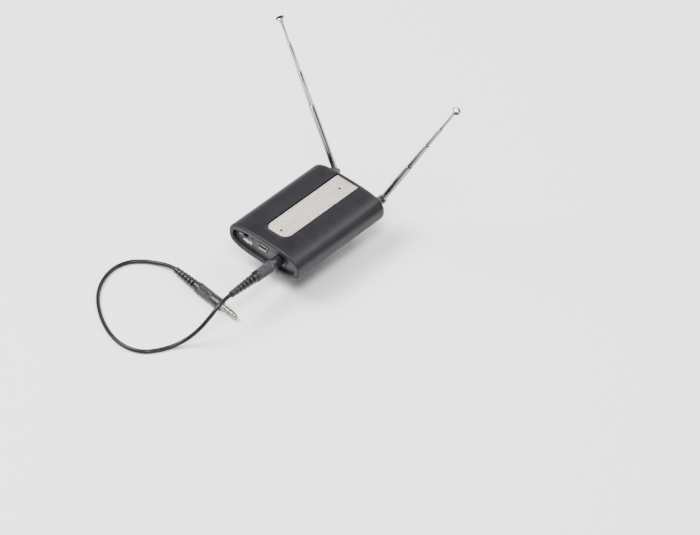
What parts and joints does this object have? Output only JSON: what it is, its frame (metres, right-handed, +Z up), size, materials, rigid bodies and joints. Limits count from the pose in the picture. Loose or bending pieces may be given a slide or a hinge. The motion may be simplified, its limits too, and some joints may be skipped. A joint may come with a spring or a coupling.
{
  "type": "wireless receiver unit",
  "caption": "Compact camera-mount audio receiver: oval-section case with inlay plate, end sockets, telescopic swivel antennas, hot-shoe foot with locking wheel, and a plug-in lead.",
  "frame": {"origin": "middle of the shoe foot's underside, on the surface the unit stands on", "axes": "+Z up out of the shoe foot, +Y from the socket end to the antenna end, +X to the right when looking at the socket end"},
  "size_m": [0.1493, 0.1768, 0.1254],
  "materials": {
    "case_black": "fine satin mould texture",
    "panel_grey": "matte",
    "inlay": "fine metallic speckle, satin",
    "smoked_lens": "dark glossy",
    "board_green": "solder mask",
    "foil_silver": "satin foil",
    "nickel": "nickel plated",
    "black_plastic": "satin",
    "screw_steel": "dark plated",
    "chrome": "polished",
    "anodised": "black anodised",
    "grip_grey": "fine knurl, satin",
    "lead_black": "satin"
  },
  "bodies": {
    "case": {"upper_shell": "case_black", "lower_shell": "case_black", "adapter_base": "case_black", "socket_panel": "panel_grey", "antenna_panel": "panel_grey", "inlay_plate": "inlay", "indicator_window_1": "smoked_lens", "indicator_window_2": "smoked_lens", "status_led": "smoked_lens", "circuit_board": "board_green", "battery_cell": "foil_silver", "radio_shield": "foil_silver", "switch_housing": "foil_silver", "usb_shell": "nickel", "usb_tongue": "black_plastic", "jack_body": "black_plastic", "jack_collar": "black_plastic", "case_screw_1": "screw_steel", "case_screw_2": "screw_steel", "case_screw_3": "screw_steel", "case_screw_4": "screw_steel", "adapter_screw_1": "screw_steel", "adapter_screw_2": "screw_steel", "shoe_foot": "anodised", "left_antenna_ferrule": "chrome", "right_antenna_ferrule": "chrome", "left_antenna_nut": "screw_steel", "right_antenna_nut": "screw_steel"},
    "power_switch": {"switch_lever": "black_plastic"},
    "clamp_washer": {"pressure_washer": "screw_steel"},
    "clamp_wheel": {"lock_wheel": "anodised"},
    "lead": {"socket_plug_barrel": "grip_grey", "socket_plug_pin": "nickel", "socket_plug_relief": "lead_black", "lead_cord": "lead_black", "far_plug_barrel": "grip_grey", "far_plug_pin": "nickel", "far_plug_relief": "lead_black"},
    "left_swivel": {"left_swivel_yoke": "chrome", "left_hinge_pin": "screw_steel"},
    "left_mast_body": {"left_mast": "chrome"},
    "left_second": {"left_tube_2": "chrome"},
    "left_third": {"left_tube_3": "chrome"},
    "left_tip": {"left_tip_rod": "chrome", "left_tip_button": "chrome"},
    "right_swivel": {"right_swivel_yoke": "chrome", "right_hinge_pin": "screw_steel"},
    "right_mast_body": {"right_mast": "chrome"},
    "right_second": {"right_tube_2": "chrome"},
    "right_third": {"right_tube_3": "chrome"},
    "right_tip": {"right_tip_rod": "chrome", "right_tip_button": "chrome"}
  },
  "joints": [
    {"name": "power_switch_slide", "type": "slide", "parent": "case", "child": "power_switch", "axis": [1, 0, 0], "range_m": [0, 0.003]},
    {"name": "clamp_travel", "type": "slide", "parent": "case", "child": "clamp_washer", "axis": [0, 0, -1], "range_m": [0, 0.00113]},
    {"name": "lock_wheel_turn", "type": "hinge", "parent": "clamp_washer", "child": "clamp_wheel", "pos_m": [0, 0, 0.0081], "axis": [0, 0, -1], "range_deg": [0, 540]},
    {"name": "left_swivel_turn", "type": "hinge", "parent": "case", "child": "left_swivel", "pos_m": [-0.0183, 0.0437, 0.0235], "axis": [0, 1, 0], "range_deg": [-64, 25]},
    {"name": "left_tilt", "type": "hinge", "parent": "left_swivel", "child": "left_mast_body", "pos_m": [-0.0183, 0.0437, 0.0235], "axis": [0.9041, 0, 0.4274], "range_deg": [-90, 8]},
    {"name": "left_second_slide", "type": "slide", "parent": "left_mast_body", "child": "left_second", "axis": [-0.4274, 0, 0.9041], "range_m": [-0.021, 0.0095]},
    {"name": "left_third_slide", "type": "slide", "parent": "left_second", "child": "left_third", "axis": [-0.4274, 0, 0.9041], "range_m": [-0.0184, 0.0115]},
    {"name": "left_tip_slide", "type": "slide", "parent": "left_third", "child": "left_tip", "axis": [-0.4274, 0, 0.9041], "range_m": [-0.0128, 0.013]},
    {"name": "right_swivel_turn", "type": "hinge", "parent": "case", "child": "right_swivel", "pos_m": [0.0183, 0.0437, 0.0235], "axis": [0, 1, 0], "range_deg": [-29, 60]},
    {"name": "right_tilt", "type": "hinge", "parent": "right_swivel", "child": "right_mast_body", "pos_m": [0.0183, 0.0437, 0.0235], "axis": [0.8721, 0, -0.4894], "range_deg": [-90, 8]},
    {"name": "right_second_slide", "type": "slide", "parent": "right_mast_body", "child": "right_second", "axis": [0.4894, 0, 0.8721], "range_m": [-0.0263, 0.0045]},
    {"name": "right_third_slide", "type": "slide", "parent": "right_second", "child": "right_third", "axis": [0.4894, 0, 0.8721], "range_m": [-0.0205, 0.0095]},
    {"name": "right_tip_slide", "type": "slide", "parent": "right_third", "child": "right_tip", "axis": [0.4894, 0, 0.8721], "range_m": [-0.0194, 0.0065]},
    {"name": "plug_pull", "type": "slide", "parent": "case", "child": "lead", "axis": [0, -1, 0], "range_m": [0, 0.016]}
  ],
  "couplings": [
    {"joint": "clamp_travel", "follows": "lock_wheel_turn", "m_per_rad": 0.00011937}
  ]
}
